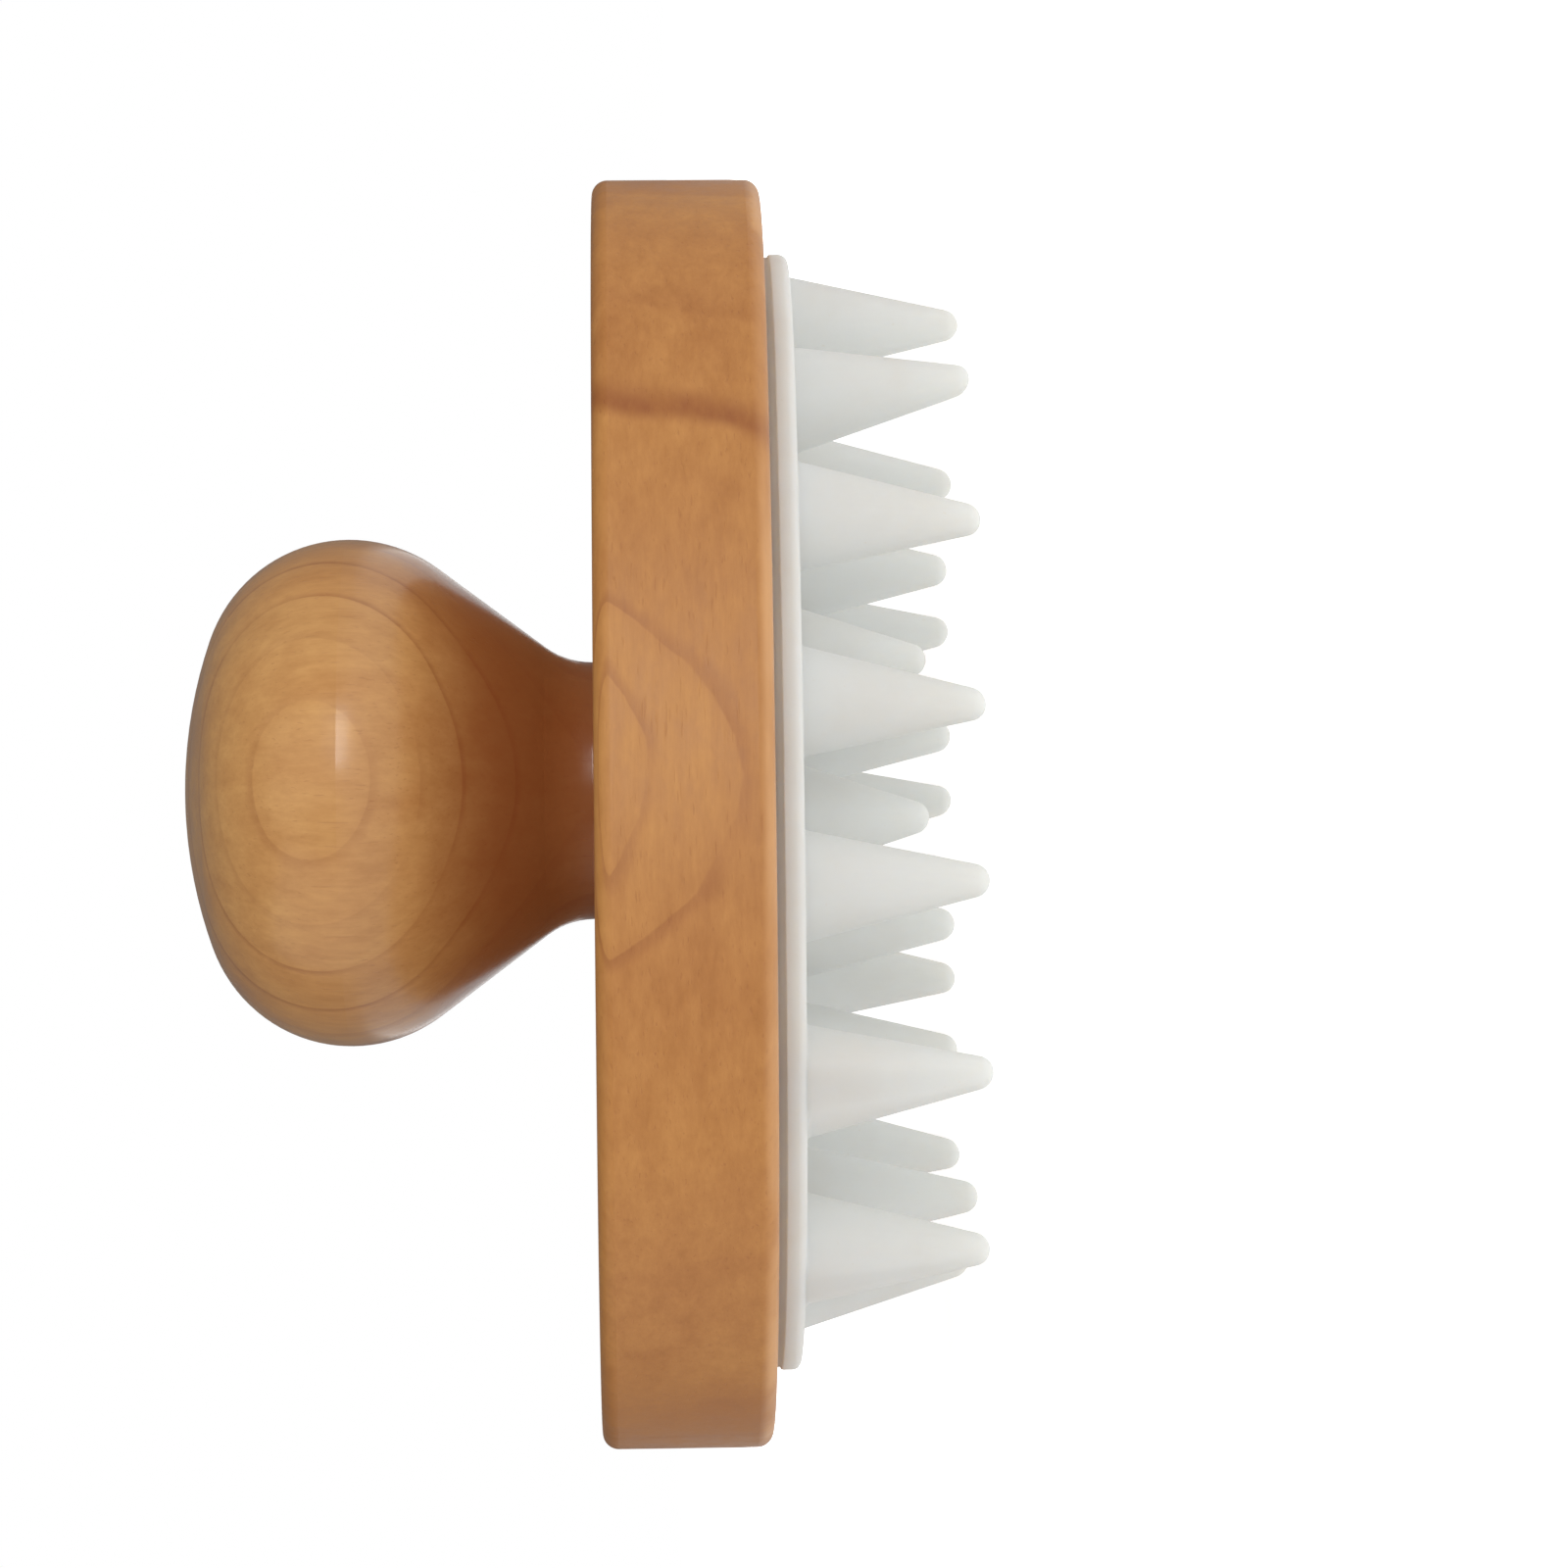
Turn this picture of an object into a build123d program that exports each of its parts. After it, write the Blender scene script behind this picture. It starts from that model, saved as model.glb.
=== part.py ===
from build123d import *
import math
import os

# Palm-held scalp massager brush: an oval wooden base with a turned knob on its back
# and a moulded silicone pad of soft bristles on its front.
# Frame: +X along the base, +Z up through the knob, and the brush stands on its bristle
# tips at Z = 0. The origin is under the middle of the base. All sizes are in millimetres.

os.makedirs("parts", exist_ok=True)

# Wooden base
base_length = 90.0
base_width = 62.0
base_thickness = 11.8
base_end_radius = 28.0
base_edge_radius = 1.1

# Silicone pad: a lip that shows in front of the wood and a plug let into the wood
lip_inset = 5.3
lip_thickness = 2.0
lip_step_height = 0.6
lip_step_inset = 0.2
lip_edge_radius = 0.6
plug_inset = 8.0
plug_thickness = 2.5
plug_clearance = 0.15
glue_thickness = 0.3

# Bristles, moulded with the pad
bristle_length = 12.5
bristle_root_radius = 3.7
bristle_tip_radius = 1.15
bristle_tip_rounding = 1.1
middle_shortfall = 1.2
inner_shortfall = 3.4

# Bristle places on the pad: along X from the middle of the pattern, and across Y
pattern_shift = -2.8
outer_places = ((6.3, 19.0), (19.3, 18.2), (29.6, 10.6))
end_places = (38.0, -25.1)
middle_places = (19.9, 7.8, -5.8, -14.9)
inner_places = ((11.2, 9.5), (0.1, 9.5))

# Turned knob
knob_height = 29.0
knob_head_radius = 17.9
knob_neck_radius = 9.1
knob_shift = 1.3
knob_widest_height = 17.4
knob_crown_radius = 32.8
knob_under_radius = 10.5
knob_neck_flare = 5.5
knob_neck_straight = 0.3

# Countersunk wood screw that pulls the knob down on the base
screw_length = 24.0
screw_radius = 2.0
screw_point_length = 4.0
screw_head_radius = 4.0
screw_head_rim = 0.4
screw_drive_length = 4.6
screw_drive_width = 1.0
screw_drive_depth = 1.2
screw_hole_clearance = 0.25
screw_pilot_clearance = 0.05
screw_point_gap = 0.5

# Levels above the bristle tips
pad_face = bristle_length
base_front = pad_face + lip_thickness
recess_depth = plug_thickness + glue_thickness
recess_floor = base_front + recess_depth
base_back = base_front + base_thickness


# An oval of four tangent arcs, drawn inside the base's outline by the given inset
def oval_face(level, inset):
    end_radius = base_end_radius - inset
    end_centre = base_length / 2 - base_end_radius
    width_gap = base_width / 2 - base_end_radius
    side_centre = (end_centre**2 - width_gap**2) / (2 * width_gap)
    side_radius = side_centre + base_width / 2 - inset
    turn = math.degrees(math.atan2(side_centre, end_centre))
    with BuildSketch(Plane.XY.offset(level)) as oval:
        with BuildLine():
            CenterArc((end_centre, 0), end_radius, -turn, 2 * turn)
            CenterArc((0, -side_centre), side_radius, turn, 180 - 2 * turn)
            CenterArc((-end_centre, 0), end_radius, 180 - turn, 2 * turn)
            CenterArc((0, side_centre), side_radius, 180 + turn, 180 - 2 * turn)
        make_face()
    return oval.sketch


# Wooden base: an oval block with softened edges, a recess for the pad's plug and a
# countersunk hole for the knob's screw
with BuildPart() as wood_base:
    add(oval_face(base_front, 0))
    extrude(amount=base_thickness)
    fillet(wood_base.faces().sort_by(Axis.Z)[0].edges(), radius=base_edge_radius)
    fillet(wood_base.faces().sort_by(Axis.Z)[-1].edges(), radius=base_edge_radius)
    add(oval_face(base_front, plug_inset))
    extrude(amount=recess_depth, mode=Mode.SUBTRACT)
    with Locations(Location((knob_shift, 0, recess_floor), (180, 0, 0))):
        CounterSinkHole(
            radius=screw_radius + screw_hole_clearance,
            counter_sink_radius=screw_head_radius + screw_head_rim,
            depth=base_thickness,
            counter_sink_angle=90,
        )
wood_base.part.label = "wood_base"
export_step(wood_base.part, "parts/wood_base.step")

# Knob: a short neck that flares into a slanted underside, a round shoulder and a
# shallow domed crown, with a pilot hole for the screw in its foot
crown_centre = knob_height - knob_crown_radius
shoulder_rise = knob_widest_height - crown_centre
shoulder_radius = (knob_crown_radius**2 - knob_head_radius**2 - shoulder_rise**2) / (
    2 * (knob_crown_radius - knob_head_radius)
)
shoulder_turn = math.degrees(math.atan2(shoulder_rise, knob_head_radius - shoulder_radius))

# The slanted line touches both the neck's flare and the round under the head: the
# tangent of half its slope comes from the overhang, the rise and the two radii
overhang = knob_head_radius - knob_neck_radius
rise = knob_widest_height - knob_neck_straight
two_radii = knob_neck_flare + knob_under_radius
half_slope = (rise - math.sqrt(rise**2 + overhang * (overhang - 2 * two_radii))) / (
    2 * two_radii - overhang
)
neck_corner = knob_neck_straight + knob_neck_flare * half_slope
head_corner = knob_widest_height - knob_under_radius * half_slope
pilot_depth = screw_length - (base_back - recess_floor) + screw_point_gap

with BuildPart() as knob:
    with BuildSketch(Plane((knob_shift, 0, base_back), x_dir=(1, 0, 0), z_dir=(0, -1, 0))):
        with BuildLine():
            neck = Line((knob_neck_radius, 0), (knob_neck_radius, knob_neck_straight))
            flare = JernArc(neck @ 1, (0, 1), knob_neck_flare, -math.degrees(2 * math.atan(half_slope)))
            under_start = (knob_head_radius, knob_widest_height)
            under = JernArc(under_start, (0, -1), knob_under_radius, -math.degrees(2 * math.atan(half_slope)))
            Line(flare @ 1, under @ 1)
            shoulder = JernArc(under_start, (0, 1), shoulder_radius, shoulder_turn)
            crown = JernArc(shoulder @ 1, shoulder % 1, knob_crown_radius, 90 - shoulder_turn)
            Line(crown @ 1, (0, 0))
            Line((0, 0), neck @ 0)
        make_face()
    revolve(axis=Axis((knob_shift, 0, 0), (0, 0, 1)))
    with Locations(Location((knob_shift, 0, base_back), (180, 0, 0))):
        Hole(radius=screw_radius + screw_pilot_clearance, depth=pilot_depth)
knob.part.label = "knob"
export_step(knob.part, "parts/knob.step")

# Screw: flush countersunk head with a cross drive, plain shank and a tapered point
screw_shank_end = screw_length - screw_point_length
screw_head_depth = screw_head_rim + screw_head_radius - screw_radius
with BuildPart() as knob_screw:
    with BuildSketch(Plane((knob_shift, 0, recess_floor), x_dir=(1, 0, 0), z_dir=(0, -1, 0))):
        with BuildLine():
            Polyline(
                (0, 0),
                (screw_head_radius, 0),
                (screw_head_radius, screw_head_rim),
                (screw_radius, screw_head_depth),
                (screw_radius, screw_shank_end),
                (0, screw_length),
                close=True,
            )
        make_face()
    revolve(axis=Axis((knob_shift, 0, 0), (0, 0, 1)))
    with BuildSketch(Plane.XY.offset(recess_floor)):
        with Locations((knob_shift, 0)):
            Rectangle(screw_drive_length, screw_drive_width)
            Rectangle(screw_drive_width, screw_drive_length)
    extrude(amount=screw_drive_depth, mode=Mode.SUBTRACT)
knob_screw.part.label = "knob_screw"
export_step(knob_screw.part, "parts/knob_screw.step")

# Silicone pad: the lip with a softened front edge, the narrow step behind it and the plug
with BuildPart() as pad_plate:
    add(oval_face(pad_face, lip_inset))
    extrude(amount=lip_thickness - lip_step_height)
    fillet(pad_plate.faces().sort_by(Axis.Z)[0].edges(), radius=lip_edge_radius)
    add(oval_face(base_front - lip_step_height, lip_inset + lip_step_inset))
    extrude(amount=lip_step_height)
    add(oval_face(base_front, plug_inset + plug_clearance))
    extrude(amount=plug_thickness)
pad_plate.part.label = "pad_plate"
export_step(pad_plate.part, "parts/pad_plate.step")

# Film of glue between the plug and the floor of the recess
with BuildPart() as pad_glue:
    add(oval_face(base_front + plug_thickness, plug_inset + plug_clearance))
    extrude(amount=glue_thickness)
pad_glue.part.label = "pad_glue"
export_step(pad_glue.part, "parts/pad_glue.step")

# Bristles: round tapering cones with rounded tips, all standing on the pad's face.
# The outer ones come in mirrored pairs, the middle ones stand in line along the pad,
# and the short inner ones stand between the two.
bristles = []
for along, across in outer_places:
    for side_x in (1, -1):
        for side_y in (1, -1):
            bristles.append(("outer_bristle", side_x * along, side_y * across, 0))
for along in end_places:
    bristles.append(("end_bristle", along, 0, 0))
for along in middle_places:
    bristles.append(("middle_bristle", along, 0, middle_shortfall))
for along, across in inner_places:
    for side_y in (1, -1):
        bristles.append(("inner_bristle", along, side_y * across, inner_shortfall))

made = {}
for kind, along, across, shortfall in bristles:
    made[kind] = made.get(kind, 0) + 1
    name = f"{kind}_{made[kind]:02d}"
    length = bristle_length - shortfall
    centre = (pattern_shift + along, across, pad_face)
    with BuildPart() as bristle:
        with BuildSketch(Plane(centre, x_dir=(1, 0, 0), z_dir=(0, -1, 0))):
            with BuildLine():
                Polyline(
                    (0, 0),
                    (bristle_root_radius, 0),
                    (bristle_tip_radius, -length),
                    (0, -length),
                    close=True,
                )
            make_face()
            tip = vertices().group_by(Axis.Y)[0].sort_by(Axis.X)[-1]
            fillet(tip, radius=bristle_tip_rounding)
        revolve(axis=Axis(centre, (0, 0, 1)))
    bristle.part.label = name
    export_step(bristle.part, f"parts/{name}.step")
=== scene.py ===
import math
import random

import bmesh
import bpy
from mathutils import Matrix, Quaternion, Vector


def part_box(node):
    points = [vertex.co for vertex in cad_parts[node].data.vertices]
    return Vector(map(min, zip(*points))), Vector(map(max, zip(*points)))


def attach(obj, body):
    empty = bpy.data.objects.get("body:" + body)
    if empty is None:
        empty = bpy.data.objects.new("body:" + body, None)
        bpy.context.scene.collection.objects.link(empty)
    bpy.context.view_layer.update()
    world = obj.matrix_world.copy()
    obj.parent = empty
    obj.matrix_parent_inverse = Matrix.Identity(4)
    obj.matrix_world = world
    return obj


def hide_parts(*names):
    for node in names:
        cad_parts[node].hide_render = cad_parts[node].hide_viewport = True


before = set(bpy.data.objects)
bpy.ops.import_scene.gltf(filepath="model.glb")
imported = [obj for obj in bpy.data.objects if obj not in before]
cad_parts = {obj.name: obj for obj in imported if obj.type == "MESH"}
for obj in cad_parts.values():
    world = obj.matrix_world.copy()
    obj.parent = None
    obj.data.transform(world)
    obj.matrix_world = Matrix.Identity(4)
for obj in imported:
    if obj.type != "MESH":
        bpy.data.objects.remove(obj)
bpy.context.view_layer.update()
scene = bpy.context.scene
random.seed(7)
mm = 0.001
print("frame loaded")


# Camera: a long lens level with the base's edge, turned so that the knob points left

cameraPlace = {
    "target": (1.5 * mm, -0.7 * mm, 13.1 * mm),
    "distance": 343 * mm,
    "swing": 11.25,  # degrees from the -Y side towards -X
    "lift": 1.7,
    "roll": 0.905,
    "focal": 111.2,
    "sensor": 36.0,
}


def placeCamera(place):
    data = bpy.data.cameras.new("studioCamera")
    data.lens = place["focal"]
    data.sensor_width = place["sensor"]
    data.clip_start = 0.01
    camera = bpy.data.objects.new("studioCamera", data)
    scene.collection.objects.link(camera)
    swing = math.radians(place["swing"])
    lift = math.radians(place["lift"])
    back = Vector((-math.sin(swing) * math.cos(lift), -math.cos(swing) * math.cos(lift), math.sin(lift)))
    along = Vector((1, 0, 0))
    up = (along - along.dot(back) * back).normalized()
    up.rotate(Quaternion(back, -math.radians(place["roll"])))
    right = up.cross(back)
    turn = Matrix((right, up, back)).transposed().to_4x4()
    spot = Vector(place["target"]) + back * place["distance"]
    camera.matrix_world = Matrix.Translation(spot) @ turn
    scene.camera = camera


placeCamera(cameraPlace)
print("camera placed")


# Node helpers: a small wrapper that adds nodes and links them by name

class Nodes:
    def __init__(self, tree):
        self.tree = tree

    def add(self, kind, inputs=None, **settings):
        node = self.tree.nodes.new(kind)
        for name, value in settings.items():
            setattr(node, name, value)
        for name, value in (inputs or {}).items():
            self.put(node.inputs[name], value)
        return node

    def put(self, socket, value):
        if isinstance(value, bpy.types.NodeSocket):
            self.tree.links.new(value, socket)
        else:
            socket.default_value = value

    def math(self, operation, first, second=0.0, third=0.0, clamp=False):
        node = self.add("ShaderNodeMath", operation=operation, use_clamp=clamp)
        for socket, value in zip(node.inputs, (first, second, third)):
            self.put(socket, value)
        return node.outputs[0]

    def mixColor(self, factor, first, second, blend="MIX"):
        node = self.add("ShaderNodeMix", data_type="RGBA", blend_type=blend)
        self.put(node.inputs[0], factor)
        self.put(node.inputs[6], first)
        self.put(node.inputs[7], second)
        return node.outputs[2]

    def noise(self, vector, scale, detail=2.0, roughness=0.5, distortion=0.0):
        inputs = {"Vector": vector, "Scale": scale, "Detail": detail}
        inputs.update({"Roughness": roughness, "Distortion": distortion})
        return self.add("ShaderNodeTexNoise", inputs).outputs["Fac"]

    def stretch(self, vector, scale, rotation=(0, 0, 0), location=(0, 0, 0)):
        inputs = {"Vector": vector, "Scale": scale, "Rotation": rotation, "Location": location}
        return self.add("ShaderNodeMapping", inputs).outputs["Vector"]

    def spread(self, value, low, high, toLow=0.0, toHigh=1.0, smooth=True):
        node = self.add("ShaderNodeMapRange")
        node.interpolation_type = "SMOOTHSTEP" if smooth else "LINEAR"
        for socket, item in zip(node.inputs, (value, low, high, toLow, toHigh)):
            self.put(socket, item)
        return node.outputs[0]


def newGroup(name, inputs, outputs):
    tree = bpy.data.node_groups.new(name, "ShaderNodeTree")
    for label, kind, value in inputs:
        socket = tree.interface.new_socket(label, in_out="INPUT", socket_type=kind)
        if value is not None:
            socket.default_value = value
    for label, kind in outputs:
        tree.interface.new_socket(label, in_out="OUTPUT", socket_type=kind)
    nodes = Nodes(tree)
    start = nodes.add("NodeGroupInput")
    end = nodes.add("NodeGroupOutput")
    return tree, nodes, start, end


def newMaterial(name):
    material = bpy.data.materials.new(name)
    material.use_nodes = True
    material.node_tree.nodes.clear()
    nodes = Nodes(material.node_tree)
    output = nodes.add("ShaderNodeOutputMaterial")
    shader = nodes.add("ShaderNodeBsdfPrincipled")
    nodes.tree.links.new(shader.outputs[0], output.inputs["Surface"])
    return material, nodes, shader


def useGroup(nodes, tree, inputs):
    return nodes.add("ShaderNodeGroup", inputs, node_tree=tree)


def placeInMm(nodes):
    place = nodes.add("ShaderNodeTexCoord").outputs["Object"]
    return nodes.stretch(place, (1000, 1000, 1000))


# Growth layers: one soft dark line and one change of tone at each depth in the list.
# Distances inside the groups are in millimetres.

def makeLayerGroup(name, layers):
    tree, nodes, start, end = newGroup(
        name,
        [("Vector", "NodeSocketVector", None), ("Depth", "NodeSocketFloat", 0.0),
         ("Wobble", "NodeSocketFloat", 0.3)],
        [("Line", "NodeSocketFloat"), ("Tone", "NodeSocketFloat")],
    )
    vector = start.outputs["Vector"]
    slow = nodes.noise(vector, 0.05, 2.0, 0.5)
    quick = nodes.noise(vector, 0.45, 2.0, 0.5)
    sway = nodes.math("MULTIPLY_ADD", nodes.math("SUBTRACT", slow, 0.5), 3.0,
                      nodes.math("MULTIPLY", nodes.math("SUBTRACT", quick, 0.5), 0.22))
    depth = nodes.math("MULTIPLY_ADD", sway, start.outputs["Wobble"], start.outputs["Depth"])
    fade = nodes.spread(nodes.noise(vector, 0.12, 2.0, 0.5), 0.32, 0.6, 0.35, 1.0)
    line = 0.0
    tone = 0.0
    for place, width, strength, step in layers:
        rise = nodes.spread(depth, place - width * 4, place)
        fall = nodes.spread(depth, place + width * 0.6, place)
        dark = nodes.math("MULTIPLY", nodes.math("MULTIPLY", rise, fall), strength)
        line = nodes.math("MAXIMUM", line, dark)
        tone = nodes.math("ADD", tone, nodes.spread(depth, place - 0.1, place + 0.25, 0.0, step))
    nodes.put(end.inputs["Line"], nodes.math("MULTIPLY", line, fade))
    nodes.put(end.inputs["Tone"], tone)
    return tree


# Fine grain: fibres drawn out along the first axis of the vector, pores, mottle and slow clouds

def makeGrainGroup():
    tree, nodes, start, end = newGroup(
        "fineGrain",
        [("Vector", "NodeSocketVector", None), ("Fibre Length", "NodeSocketFloat", 14.0)],
        [("Fibre", "NodeSocketFloat"), ("Pores", "NodeSocketFloat"), ("Mottle", "NodeSocketFloat"),
         ("Cloud", "NodeSocketFloat")],
    )
    vector = start.outputs["Vector"]
    parts = nodes.add("ShaderNodeSeparateXYZ", {"Vector": vector})
    along = nodes.math("DIVIDE", parts.outputs["X"], start.outputs["Fibre Length"])
    across, through = parts.outputs["Y"], parts.outputs["Z"]
    drawn = nodes.add("ShaderNodeCombineXYZ", {"X": along, "Y": across, "Z": through})
    fibre = nodes.noise(drawn.outputs[0], 2.6, 4.0, 0.65)
    poreField = nodes.noise(drawn.outputs[0], 5.5, 1.0, 0.5)
    pores = nodes.spread(poreField, 0.66, 0.74)
    shortened = nodes.math("MULTIPLY", parts.outputs["X"], 0.45)
    short = nodes.add("ShaderNodeCombineXYZ", {"X": shortened, "Y": across, "Z": through})
    mottle = nodes.noise(short.outputs[0], 0.55, 5.0, 0.66)
    cloud = nodes.noise(short.outputs[0], 0.11, 3.0, 0.55)
    nodes.put(end.inputs["Fibre"], fibre)
    nodes.put(end.inputs["Pores"], pores)
    nodes.put(end.inputs["Mottle"], mottle)
    nodes.put(end.inputs["Cloud"], cloud)
    return tree


grainGroup = makeGrainGroup()


# Satin lacquered fruitwood for the base and the knob.
# layers: depth from the middle, line width, line strength, change of tone

baseWood = {
    "layerNormal": (-0.0536, -0.9942, 0.094),
    "layers": (
        (33.05, 0.03, 0.38, 0.02), (32.46, 0.045, 0.42, 0.20), (30.2, 0.25, 0.10, -0.10),
        (25.5, 0.40, 0.10, 0.08), (20.6, 0.50, 0.12, -0.10), (15.2, 0.50, 0.16, 0.08),
        (9.5, 0.30, 0.32, -0.1), (5.2, 0.25, 0.38, 0.14), (0.4, 0.35, 0.36, -0.12),
        (-6.0, 0.30, 0.32, 0.12), (-11.3, 0.35, 0.36, -0.1), (-17.1, 0.30, 0.3, 0.1),
        (-22.4, 0.30, 0.34, -0.1), (-26.6, 0.20, 0.4, 0.14), (-28.1, 0.06, 0.5, 0.1),
    ),
    "wobble": 0.22,
    "fibreTurn": (0.0, 0.0, 0.0),
    "fibreLength": 14.0,
    "pale": (0.480, 0.212, 0.056, 1),
    "deep": (0.345, 0.124, 0.032, 1),
    "line": (0.270, 0.082, 0.024, 1),
    "coat": 0.22,
    "coatRough": 0.34,
    "roughness": 0.40,
}

knobWood = {
    "layerNormal": (-0.137, -0.972, 0.19),
    "layers": (
        (25.0, 0.09, 0.28, 0.05), (23.0, 0.12, 0.18, -0.06), (20.5, 0.1, 0.45, 0.12), (17.2, 0.12, 0.5, 0.12),
        (13.5, 0.3, 0.3, -0.1), (9.9, 0.3, 0.34, 0.12), (5.4, 0.3, 0.3, -0.1), (1.5, 0.3, 0.36, 0.14),
        (-2.3, 0.25, 0.3, -0.12), (-6.1, 0.2, 0.4, 0.12), (-9.6, 0.15, 0.42, -0.1), (-12.1, 0.12, 0.4, -0.12),
    ),
    "wobble": 0.16,
    "fibreTurn": (0.0, math.radians(90), 0.0),
    "fibreLength": 14.0,
    "pale": (0.590, 0.315, 0.108, 1),
    "deep": (0.470, 0.198, 0.055, 1),
    "line": (0.290, 0.095, 0.030, 1),
    "coat": 0.8,
    "coatRough": 0.2,
    "roughness": 0.34,
}

# A dark mineral streak that crosses the near side of the base, end grain that takes more stain, and a painted
# highlight along the edge next to the pad
baseMarksAndHighlight = {
    "streakPlace": 21.2,
    "streakLean": 0.20,
    "streakWidth": 1.5,
    "streakColor": (0.225, 0.052, 0.012, 1),
    "streakLevel": 20.4,
    "streakStrength": 0.72,
    "streakFade": (-23.0, -26.0),  # the streak shows only near the front side
    "endStart": 38.5,
    "endFull": 44.5,
    "endStrength": 0.55,
    # painted highlight: a lighter colour along the edge next to the pad
    "edgeHighlightStart": 15.6,
    "edgeHighlightFull": 14.9,
    "edgeHighlightColor": (0.70, 0.40, 0.19, 1),
}

# Painted shade: the knob is painted deeper red-brown where it narrows, where the head and the base shade it
knobNeckShade = {
    "neckShadeStart": 40.5,
    "neckShadeFull": 32.5,
    "neckShadeStrength": 0.8,
    "neckShadeColor": (0.255, 0.060, 0.014, 1),
}


def woodColor(nodes, values):
    inMm = placeInMm(nodes)
    depth = nodes.add("ShaderNodeVectorMath", {0: inMm, 1: values["layerNormal"]}, operation="DOT_PRODUCT")
    layers = useGroup(nodes, makeLayerGroup("growthLayers", values["layers"]), {
        "Vector": inMm, "Depth": depth.outputs["Value"], "Wobble": values["wobble"]})
    fibreWay = nodes.stretch(inMm, (1, 1, 1), values["fibreTurn"])
    grain = useGroup(nodes, grainGroup, {"Vector": fibreWay, "Fibre Length": values["fibreLength"]})
    # the slow clouds set the base tone, and each growth layer then steps it paler or deeper
    tone = nodes.spread(grain.outputs["Cloud"], 0.25, 0.75, 0.75, 0.15, smooth=False)
    tone = nodes.math("SUBTRACT", tone, layers.outputs["Tone"], clamp=True)
    color = nodes.mixColor(tone, values["pale"], values["deep"])
    color = nodes.mixColor(layers.outputs["Line"], color, values["line"])
    fibre = nodes.spread(grain.outputs["Fibre"], 0.3, 0.7, 0.93, 1.065, smooth=False)
    mottle = nodes.spread(grain.outputs["Mottle"], 0.3, 0.7, 0.86, 1.13, smooth=False)
    shade = nodes.math("MULTIPLY", fibre, mottle)
    # darker fibres are also a little redder
    tint = {"Red": nodes.math("POWER", shade, 0.7), "Green": shade, "Blue": nodes.math("POWER", shade, 1.2)}
    grey = nodes.add("ShaderNodeCombineColor", tint)
    color = nodes.mixColor(1.0, color, grey.outputs[0], blend="MULTIPLY")
    color = nodes.mixColor(nodes.math("MULTIPLY", grain.outputs["Pores"], 0.22), color, values["line"])
    return inMm, grain, color


def finishWood(nodes, shader, values, grain, color):
    nodes.put(shader.inputs["Base Color"], color)
    roughLow = values["roughness"] - 0.05
    rough = nodes.spread(grain.outputs["Mottle"], 0.3, 0.7, roughLow, roughLow + 0.13)
    nodes.put(shader.inputs["Roughness"], rough)
    shader.inputs["Specular IOR Level"].default_value = 0.35
    shader.inputs["Coat Weight"].default_value = values["coat"]
    shader.inputs["Coat IOR"].default_value = 1.45
    coatLow = values["coatRough"] - 0.03
    coat = nodes.spread(grain.outputs["Cloud"], 0.3, 0.7, coatLow, coatLow + 0.08)
    nodes.put(shader.inputs["Coat Roughness"], coat)
    height = nodes.math("MULTIPLY_ADD", grain.outputs["Fibre"], 0.5, grain.outputs["Mottle"])
    height = nodes.math("SUBTRACT", height, nodes.math("MULTIPLY", grain.outputs["Pores"], 0.8))
    bump = nodes.add("ShaderNodeBump", {"Height": height, "Strength": 0.3, "Distance": 0.04 * mm})
    nodes.put(shader.inputs["Normal"], bump.outputs[0])
    waves = {"Height": grain.outputs["Mottle"], "Strength": 0.25, "Distance": 0.05 * mm}
    ripple = nodes.add("ShaderNodeBump", waves)
    nodes.put(shader.inputs["Coat Normal"], ripple.outputs[0])


def makeBaseWood(values, colorOverlays):
    material, nodes, shader = newMaterial("baseWoodFinish")
    inMm, grain, color = woodColor(nodes, values)
    parts = nodes.add("ShaderNodeSeparateXYZ", {"Vector": inMm})
    x, y, z = parts.outputs
    # mineral streak: a soft band that bends and leans a little, patchy where the wood is mottled
    bend = nodes.math("MULTIPLY", nodes.math("SUBTRACT", nodes.noise(inMm, 0.16, 1.0, 0.5), 0.5), 2.6)
    rise = nodes.math("SUBTRACT", z, colorOverlays["streakLevel"])
    line = nodes.math("MULTIPLY_ADD", rise, colorOverlays["streakLean"], colorOverlays["streakPlace"])
    off = nodes.math("SUBTRACT", nodes.math("ADD", x, bend), line)
    above = nodes.spread(off, colorOverlays["streakWidth"] * 1.5, 0.0)
    below = nodes.spread(off, -colorOverlays["streakWidth"] * 0.9, 0.0)
    band = nodes.math("MULTIPLY", above, below)
    near = nodes.spread(y, *colorOverlays["streakFade"])
    patch = nodes.spread(grain.outputs["Mottle"], 0.3, 0.65, 0.55, 1.0)
    strength = nodes.math("MULTIPLY", patch, colorOverlays["streakStrength"])
    streak = nodes.math("MULTIPLY", nodes.math("MULTIPLY", band, near), strength)
    color = nodes.mixColor(streak, color, colorOverlays["streakColor"])
    # end grain: deeper towards the two ends of the base
    reach = nodes.math("ADD", nodes.math("ABSOLUTE", x), nodes.math("MULTIPLY", bend, 0.5))
    ends = nodes.spread(reach, colorOverlays["endStart"], colorOverlays["endFull"], 0.0, colorOverlays["endStrength"])
    color = nodes.mixColor(ends, color, values["deep"])
    # painted highlight: the wood is painted lighter along the edge next to the pad, where the lacquer catches
    # the light
    edge = nodes.spread(z, colorOverlays["edgeHighlightStart"], colorOverlays["edgeHighlightFull"])
    paintedHighlight = nodes.math("MULTIPLY", edge, nodes.spread(grain.outputs["Cloud"], 0.4, 0.6, 0.2, 0.55))
    color = nodes.mixColor(paintedHighlight, color, colorOverlays["edgeHighlightColor"])
    finishWood(nodes, shader, values, grain, color)
    return material


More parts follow.
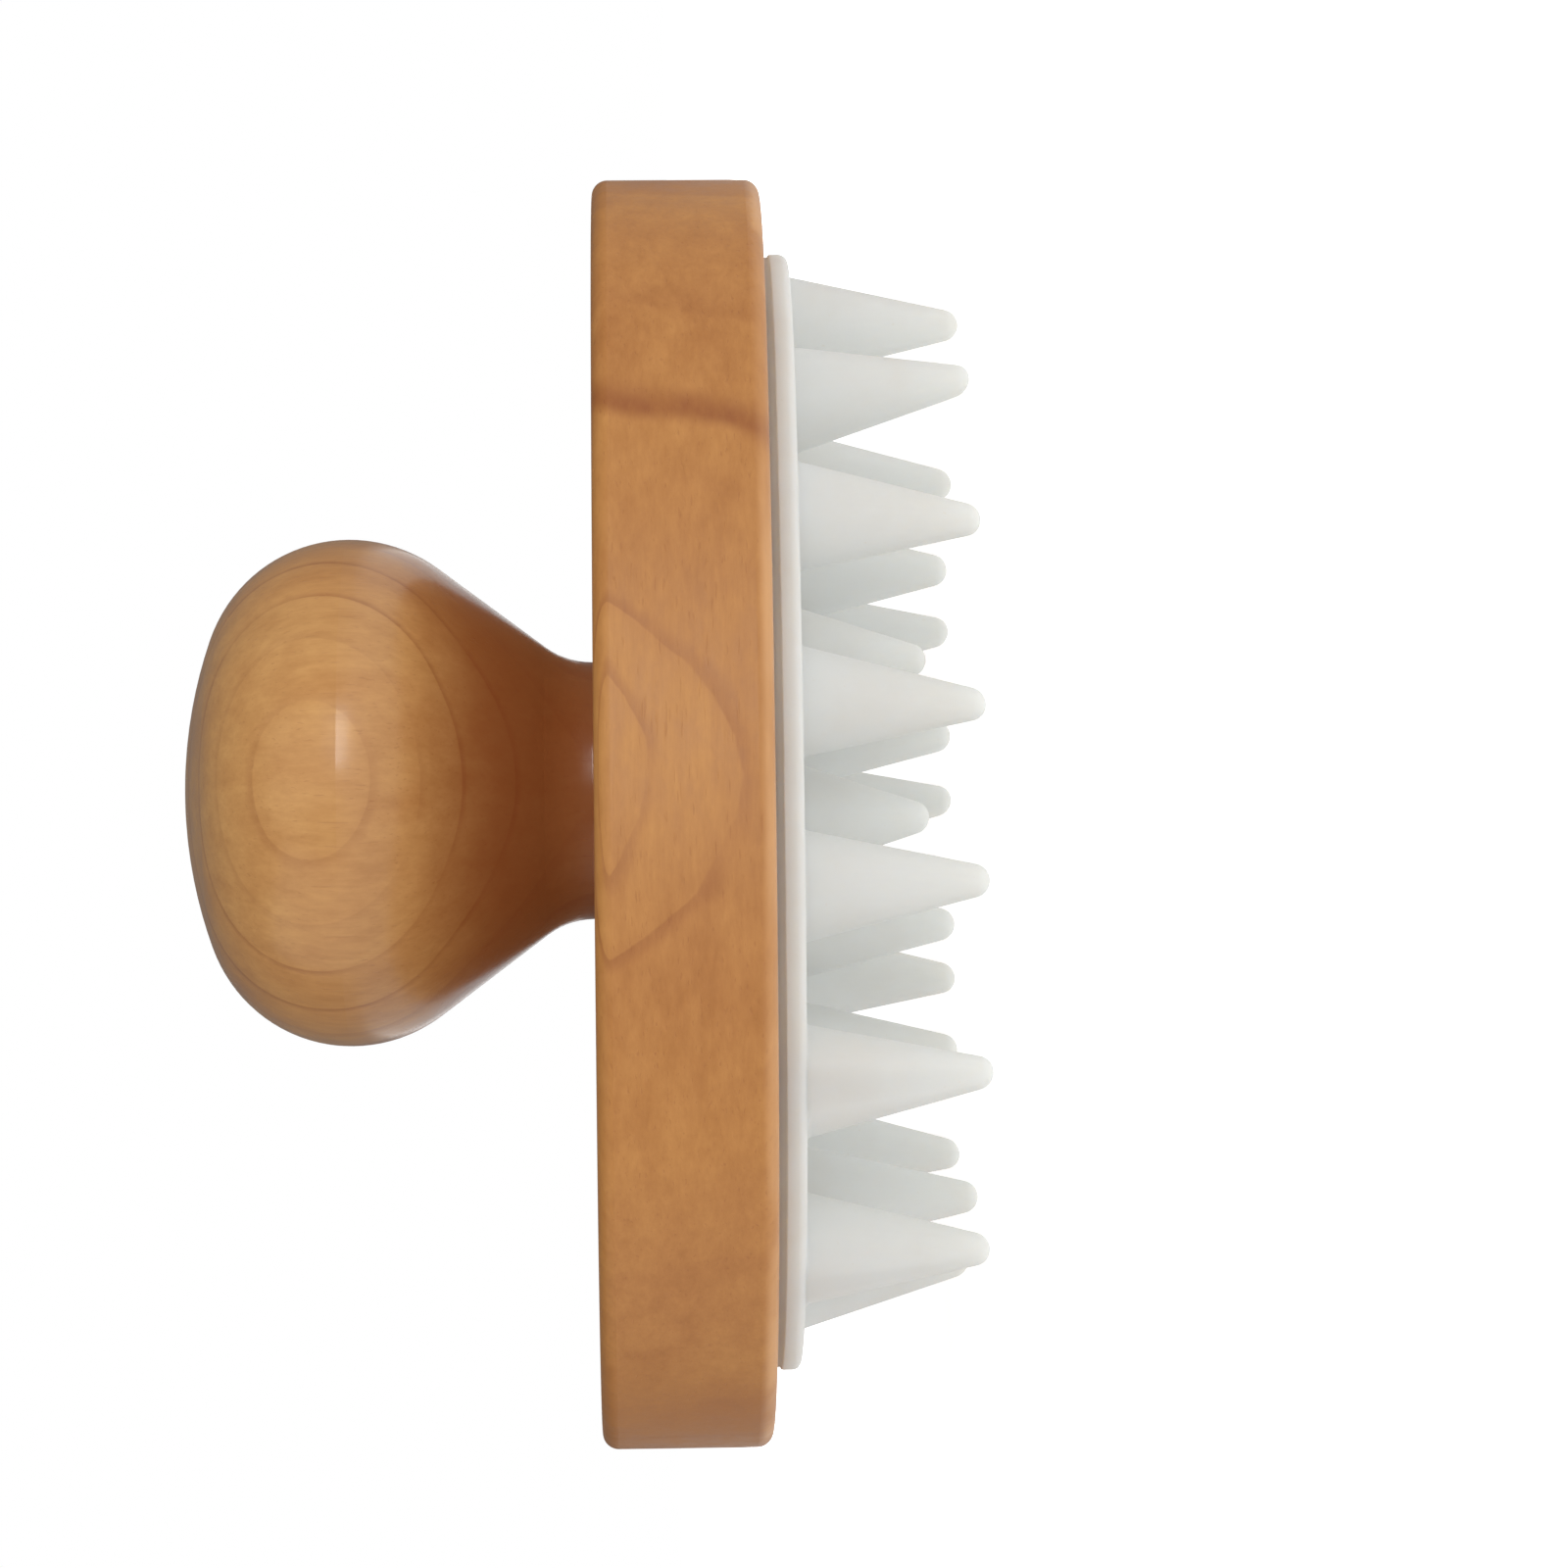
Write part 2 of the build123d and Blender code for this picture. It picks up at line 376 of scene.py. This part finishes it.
def makeKnobWood(values, colorOverlays):
    material, nodes, shader = newMaterial("knobWoodFinish")
    inMm, grain, color = woodColor(nodes, values)
    parts = nodes.add("ShaderNodeSeparateXYZ", {"Vector": inMm})
    # painted shade: darker towards the neck, which sits in shadow between the head and the base
    bend = nodes.math("MULTIPLY", nodes.math("SUBTRACT", grain.outputs["Cloud"], 0.5), 5.0)
    level = nodes.math("ADD", parts.outputs["Z"], bend)
    neckShade = nodes.spread(level, colorOverlays["neckShadeStart"], colorOverlays["neckShadeFull"], 0.0, colorOverlays["neckShadeStrength"])
    color = nodes.mixColor(neckShade, color, colorOverlays["neckShadeColor"])
    finishWood(nodes, shader, values, grain, color)
    return material


def dress(node, material):
    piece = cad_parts[node]
    piece.data.materials.clear()
    piece.data.materials.append(material)


dress("wood_base", makeBaseWood(baseWood, baseMarksAndHighlight))
dress("knob", makeKnobWood(knobWood, knobNeckShade))
print("wood finished")


# Silicone moulding: lip, plug and bristles in one soft, slightly translucent piece

moulding = {
    "endRadius": 22.7 * mm,
    "edgeRound": 0.6 * mm,
    "backRound": 0.15 * mm,
    "stepInset": 0.2 * mm,
    "stepHeight": 0.6 * mm,
    "plugInset": 2.85 * mm,
    "faceReach": 3 * mm,  # the flat faces inside these rims are filled in one piece
    "backReach": 4 * mm,
    "arcSteps": 40,
    "sideSteps": 16,
    "footFlare": 0.45 * mm,
    "footSink": 0.012 * mm,
    "rootRadius": 3.7 * mm,
    "tipRadius": 1.15 * mm,
    "bristleSteps": 40,
    "sunkRoot": 0.5 * mm,  # how far a bristle runs into the pad before the two are joined
    "sideLean": 0.15 * mm,
}

bristleNodes = sorted(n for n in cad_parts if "bristle" in n)

# How far each soft bristle's tip leans along the brush, in millimetres
tipLeans = {
    "outer_bristle_10": 1.5, "outer_bristle_06": -0.35, "outer_bristle_02": -0.35, "outer_bristle_04": 0.3,
    "outer_bristle_08": 0.5, "outer_bristle_12": -0.25, "outer_bristle_09": -0.55, "outer_bristle_05": 0.3,
    "outer_bristle_01": 0.55, "outer_bristle_03": -0.35, "outer_bristle_07": -0.6, "outer_bristle_11": 1.2,
    "end_bristle_01": 0.15, "middle_bristle_04": 0.2,
}


def rimCentres(values):
    # the lip's oval: end arcs and side arcs that meet smoothly, as far out as the pad reaches
    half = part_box("pad_plate")[1]
    endCentre = half.x - values["endRadius"]
    gap = half.y - values["endRadius"]
    sideCentre = (endCentre ** 2 - gap ** 2) / (2 * gap)
    return endCentre, sideCentre, sideCentre + half.y


def spinRim(bm, profile, rim, values):
    endRadius = values["endRadius"]
    endCentre, sideCentre = rim[:2]
    turn = math.atan2(sideCentre, endCentre)
    way = Vector((math.cos(-turn), math.sin(-turn), 0))
    start = [bm.verts.new(Vector((endCentre, 0, z)) + way * (endRadius + out)) for out, z in profile]
    last = [bm.edges.new(pair) for pair in zip(start, start[1:])]
    arcs = (
        ((endCentre, 0, 0), 2 * turn, values["arcSteps"]),
        ((0, -sideCentre, 0), math.pi - 2 * turn, values["sideSteps"]),
        ((-endCentre, 0, 0), 2 * turn, values["arcSteps"]),
        ((0, sideCentre, 0), math.pi - 2 * turn, values["sideSteps"]),
    )
    for centre, angle, steps in arcs:
        spun = bmesh.ops.spin(bm, geom=last, cent=centre, axis=(0, 0, 1), angle=angle, steps=steps)
        last = [item for item in spun["geom_last"] if isinstance(item, bmesh.types.BMEdge)]
    bmesh.ops.remove_doubles(bm, verts=bm.verts[:], dist=1e-6)
    bmesh.ops.holes_fill(bm, edges=[e for e in bm.edges if e.is_boundary], sides=0)


def roundCorner(centre, radius, startAngle, endAngle, steps):
    points = []
    for step in range(steps + 1):
        angle = math.radians(startAngle + (endAngle - startAngle) * step / steps)
        points.append((centre[0] + radius * math.cos(angle), centre[1] + radius * math.sin(angle)))
    return points


def keepOnPad(vert, rim, values):
    # the root follows the lip's outline where a bristle stands close to the edge
    endCentre, sideCentre, sideRadius = rim
    flat = Vector((vert.co.x, vert.co.y, 0))
    end = Vector((math.copysign(endCentre, flat.x), 0, 0))
    side = Vector((0, -math.copysign(sideCentre, flat.y), 0))
    onEnd = abs(flat.y) * endCentre < (abs(flat.x) - endCentre) * sideCentre
    hub = end if onEnd else side
    limit = (values["endRadius"] if onEnd else sideRadius) - values["edgeRound"] * 0.75
    way = flat - hub
    if way.length > limit:
        held = hub + way.normalized() * limit
        vert.co.x, vert.co.y = held.x, held.y


def spinBristle(bm, low, high, lean, rim, values):
    centre = Vector(((low.x + high.x) / 2, (low.y + high.y) / 2, 0))
    root, tip = values["rootRadius"], values["tipRadius"]
    slope = math.degrees(math.atan2(root - tip, high.z - low.z))
    flare = values["footFlare"]
    foot = roundCorner((root + flare, high.z + values["footSink"] - flare), flare, 90, 180 - slope, 5)
    cap = roundCorner((0, low.z + tip), tip, -slope, -90, 7)
    sunk = high.z + values["sunkRoot"]
    profile = [(0, sunk), (root + flare, sunk)] + foot + cap[:-1] + [(0, low.z)]
    verts = [bm.verts.new(centre + Vector((out, 0, z))) for out, z in profile]
    edges = [bm.edges.new(pair) for pair in zip(verts, verts[1:])]
    bmesh.ops.spin(bm, geom=edges, cent=centre, axis=(0, 0, 1), angle=2 * math.pi,
                   steps=values["bristleSteps"], use_merge=True)
    # faces without a tag are the ones that this bristle has just added
    own = set(verts)
    for face in bm.faces:
        if not face.tag:
            own.update(face.verts)
            face.tag = True
    shift = Vector((lean, random.uniform(-1, 1) * values["sideLean"], 0))
    for vert in own:
        if vert.co.z > high.z - flare:
            keepOnPad(vert, rim, values)
        bend = max(0.0, (high.z - vert.co.z) / (high.z - low.z))
        vert.co += shift * bend ** 1.4


def meshObject(name, bm):
    bmesh.ops.recalc_face_normals(bm, faces=bm.faces[:])
    for item in bm.faces:
        item.smooth = True
    mesh = bpy.data.meshes.new(name)
    bm.to_mesh(mesh)
    bm.free()
    piece = bpy.data.objects.new(name, mesh)
    scene.collection.objects.link(piece)
    return piece


def makePad(rim, values):
    low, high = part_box("pad_plate")
    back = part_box("wood_base")[0].z
    edge, small = values["edgeRound"], values["backRound"]
    stepTop = back - values["stepHeight"]
    profile = [(-values["faceReach"], low.z)]
    profile += roundCorner((-edge, low.z + edge), edge, -90, 0, 6)
    profile += roundCorner((-small, stepTop - small), small, 0, 90, 3)
    profile += [(-values["stepInset"], stepTop), (-values["stepInset"], back)]
    profile += [(-values["plugInset"], back), (-values["plugInset"], high.z), (-values["backReach"], high.z)]
    bm = bmesh.new()
    spinRim(bm, profile, rim, values)
    return meshObject("siliconeMoulding", bm)


def makeBristles(rim, values):
    bm = bmesh.new()
    for name in bristleNodes:
        corner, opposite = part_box(name)
        spinBristle(bm, corner, opposite, tipLeans.get(name, 0.0) * mm, rim, values)
    bmesh.ops.remove_doubles(bm, verts=bm.verts[:], dist=1e-7)
    return meshObject("bristleRows", bm)


def makeMoulding(values):
    rim = rimCentres(values)
    piece = makePad(rim, values)
    rows = makeBristles(rim, values)
    join = piece.modifiers.new("joinRows", "BOOLEAN")
    join.operation = "UNION"
    join.solver = "EXACT"
    join.object = rows
    bpy.context.view_layer.objects.active = piece
    piece.select_set(True)
    bpy.ops.object.modifier_apply(modifier="joinRows")
    bpy.data.objects.remove(rows, do_unlink=True)
    bm = bmesh.new()
    bm.from_mesh(piece.data)
    bmesh.ops.remove_doubles(bm, verts=bm.verts[:], dist=2e-6)
    bmesh.ops.recalc_face_normals(bm, faces=bm.faces[:])
    print("moulding faces", len(bm.faces), "open edges", sum(1 for e in bm.edges if not e.is_manifold))
    bm.to_mesh(piece.data)
    bm.free()
    bpy.ops.object.shade_auto_smooth(angle=math.radians(40))
    return piece


siliconeFinish = {
    "clear": (0.635, 0.65, 0.64, 1),
    "warm": (0.62, 0.625, 0.605, 1),
    "roughness": 0.5,
    "subsurface": 0.6,
    "subsurfaceDepth": 3 * mm,
    "dustColor": (0.60, 0.56, 0.48, 1),
}


def makeSilicone(values):
    material, nodes, shader = newMaterial("siliconeFinish")
    inMm = placeInMm(nodes)
    cloud = nodes.noise(inMm, 0.16, 3.0, 0.55)
    speck = nodes.noise(inMm, 3.0, 3.0, 0.6)
    color = nodes.mixColor(nodes.spread(cloud, 0.35, 0.7), values["clear"], values["warm"])
    dust = nodes.spread(nodes.noise(inMm, 2.2, 2.0, 0.5), 0.72, 0.78, 0.0, 0.35)
    color = nodes.mixColor(dust, color, values["dustColor"])
    nodes.put(shader.inputs["Base Color"], color)
    rough = nodes.spread(speck, 0.3, 0.7, values["roughness"] - 0.05, values["roughness"] + 0.08)
    nodes.put(shader.inputs["Roughness"], rough)
    shader.inputs["IOR"].default_value = 1.41
    shader.inputs["Subsurface Weight"].default_value = values["subsurface"]
    shader.inputs["Subsurface Radius"].default_value = (1.0, 0.9, 0.75)
    shader.inputs["Subsurface Scale"].default_value = values["subsurfaceDepth"]
    height = nodes.math("MULTIPLY_ADD", cloud, 3.0, speck)
    bump = nodes.add("ShaderNodeBump", {"Height": height, "Strength": 0.2, "Distance": 0.04 * mm})
    nodes.put(shader.inputs["Normal"], bump.outputs[0])
    return material


silicone = makeMoulding(moulding)
silicone.data.materials.append(makeSilicone(siliconeFinish))
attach(silicone, "root")
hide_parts("pad_plate", *bristleNodes)
print("silicone moulding made")


# Hidden screw and glue film

def makeScrewSteel():
    material, nodes, shader = newMaterial("zincPlate")
    inMm = placeInMm(nodes)
    turned = nodes.noise(nodes.stretch(inMm, (0.3, 0.3, 6.0)), 2.0, 3.0, 0.6)
    color = nodes.mixColor(turned, (0.52, 0.52, 0.50, 1), (0.70, 0.70, 0.66, 1))
    nodes.put(shader.inputs["Base Color"], color)
    nodes.put(shader.inputs["Roughness"], nodes.spread(turned, 0.3, 0.7, 0.25, 0.42))
    shader.inputs["Metallic"].default_value = 1.0
    return material


def makeGlue():
    material, nodes, shader = newMaterial("curedGlue")
    inMm = placeInMm(nodes)
    streak = nodes.noise(inMm, 0.4, 3.0, 0.6)
    color = nodes.mixColor(streak, (0.80, 0.76, 0.62, 1), (0.66, 0.60, 0.44, 1))
    nodes.put(shader.inputs["Base Color"], color)
    nodes.put(shader.inputs["Roughness"], nodes.spread(streak, 0.3, 0.7, 0.2, 0.4))
    return material


dress("knob_screw", makeScrewSteel())
dress("pad_glue", makeGlue())
print("hidden pieces finished")


# Studio: a plain pale floor under the bristle tips, a white sky and soft lights all round

studio = {
    "floorSize": 3.0,
    "floorColor": (0.80, 0.80, 0.79, 1),
    "nearSeen": 0.62,
    "farSeen": 1.0,
    "fadeStart": 0.06,
    "fadeFull": 0.40,
    "floorGlow": 0.66,
    "floorGloss": 0.15,
    "skyGlow": 0.16,
}

# name: direction from the brush, distance, width, height, watts
# only the strip and the low light shine back from the lacquer
studioLights = {
    "windowLight": ((0.06, -0.80, 0.55), 0.8, 0.60, 0.72, 2.6),
    "stripLight": ((0.22, -0.95, 0.02), 0.8, 0.36, 0.05, 0.8),
    "topLight": ((0.9, -0.25, 0.45), 0.8, 0.8, 0.8, 0.95),
    "lowLight": ((-0.85, -0.30, 0.35), 0.8, 0.9, 0.8, 1.25),
    "backLight": ((0.1, 0.95, 0.25), 0.8, 0.7, 0.3, 3.8),
}


def makeFloor(values):
    bm = bmesh.new()
    bmesh.ops.create_grid(bm, x_segments=2, y_segments=2, size=values["floorSize"])
    mesh = bpy.data.meshes.new("studioFloor")
    bm.to_mesh(mesh)
    bm.free()
    floor = bpy.data.objects.new("studioFloor", mesh)
    scene.collection.objects.link(floor)
    material, nodes, shader = newMaterial("floorPaper")
    place = nodes.add("ShaderNodeTexCoord").outputs["Object"]
    tone = nodes.noise(place, 3.0, 2.0, 0.5)
    color = nodes.mixColor(nodes.math("MULTIPLY", tone, 0.05), values["floorColor"], (0.8, 0.8, 0.8, 1))
    nodes.put(shader.inputs["Base Color"], color)
    shader.inputs["Roughness"].default_value = 0.9
    shader.inputs["Specular IOR Level"].default_value = 0.0
    shader.inputs["Emission Color"].default_value = (1, 1, 1, 1)
    # seen from below, the floor lets the underside of the brush show
    output = nodes.tree.nodes["Material Output"]
    clear = nodes.add("ShaderNodeBsdfTransparent")
    side = nodes.add("ShaderNodeNewGeometry").outputs["Backfacing"]
    mix = nodes.add("ShaderNodeMixShader", {0: side, 1: shader.outputs[0], 2: clear.outputs[0]})
    nodes.put(output.inputs["Surface"], mix.outputs[0])
    path = nodes.add("ShaderNodeLightPath")
    glossy = path.outputs["Is Glossy Ray"]
    glow = nodes.spread(glossy, 0.0, 1.0, values["floorGlow"], values["floorGloss"], smooth=False)
    reach = nodes.add("ShaderNodeVectorMath", {0: place}, operation="LENGTH").outputs["Value"]
    seen = nodes.spread(reach, values["fadeStart"], values["fadeFull"], values["nearSeen"], values["farSeen"])
    glow = nodes.math("MAXIMUM", glow, nodes.math("MULTIPLY", path.outputs["Is Camera Ray"], seen))
    nodes.put(shader.inputs["Emission Strength"], glow)
    mesh.materials.append(material)


def makeSky(values):
    world = bpy.data.worlds.new("studioSky")
    scene.world = world
    world.use_nodes = True
    world.node_tree.nodes.clear()
    nodes = Nodes(world.node_tree)
    seen = nodes.add("ShaderNodeBackground", {"Color": (1, 1, 1, 1), "Strength": 1.0})
    glow = nodes.add("ShaderNodeBackground", {"Color": (1, 1, 1, 1), "Strength": values["skyGlow"]})
    path = nodes.add("ShaderNodeLightPath")
    direct = path.outputs["Is Camera Ray"]
    mix = nodes.add("ShaderNodeMixShader", {0: direct, 1: glow.outputs[0], 2: seen.outputs[0]})
    output = nodes.add("ShaderNodeOutputWorld")
    nodes.put(output.inputs["Surface"], mix.outputs[0])


def makeLights(lights):
    middle = Vector((0, 0, 28 * mm))
    for name, (way, distance, width, height, watts) in lights.items():
        data = bpy.data.lights.new(name, "AREA")
        data.shape = "RECTANGLE"
        data.size = width
        data.size_y = height
        data.energy = watts
        lamp = bpy.data.objects.new(name, data)
        scene.collection.objects.link(lamp)
        direction = Vector(way).normalized()
        lamp.location = middle + direction * distance
        lamp.rotation_mode = "QUATERNION"
        lamp.rotation_quaternion = direction.to_track_quat("Z", "Y")
        lamp.visible_glossy = name in ("stripLight", "lowLight")


makeFloor(studio)
makeSky(studio)
makeLights(studioLights)
scene.view_settings.view_transform = "Standard"
print("studio lit")
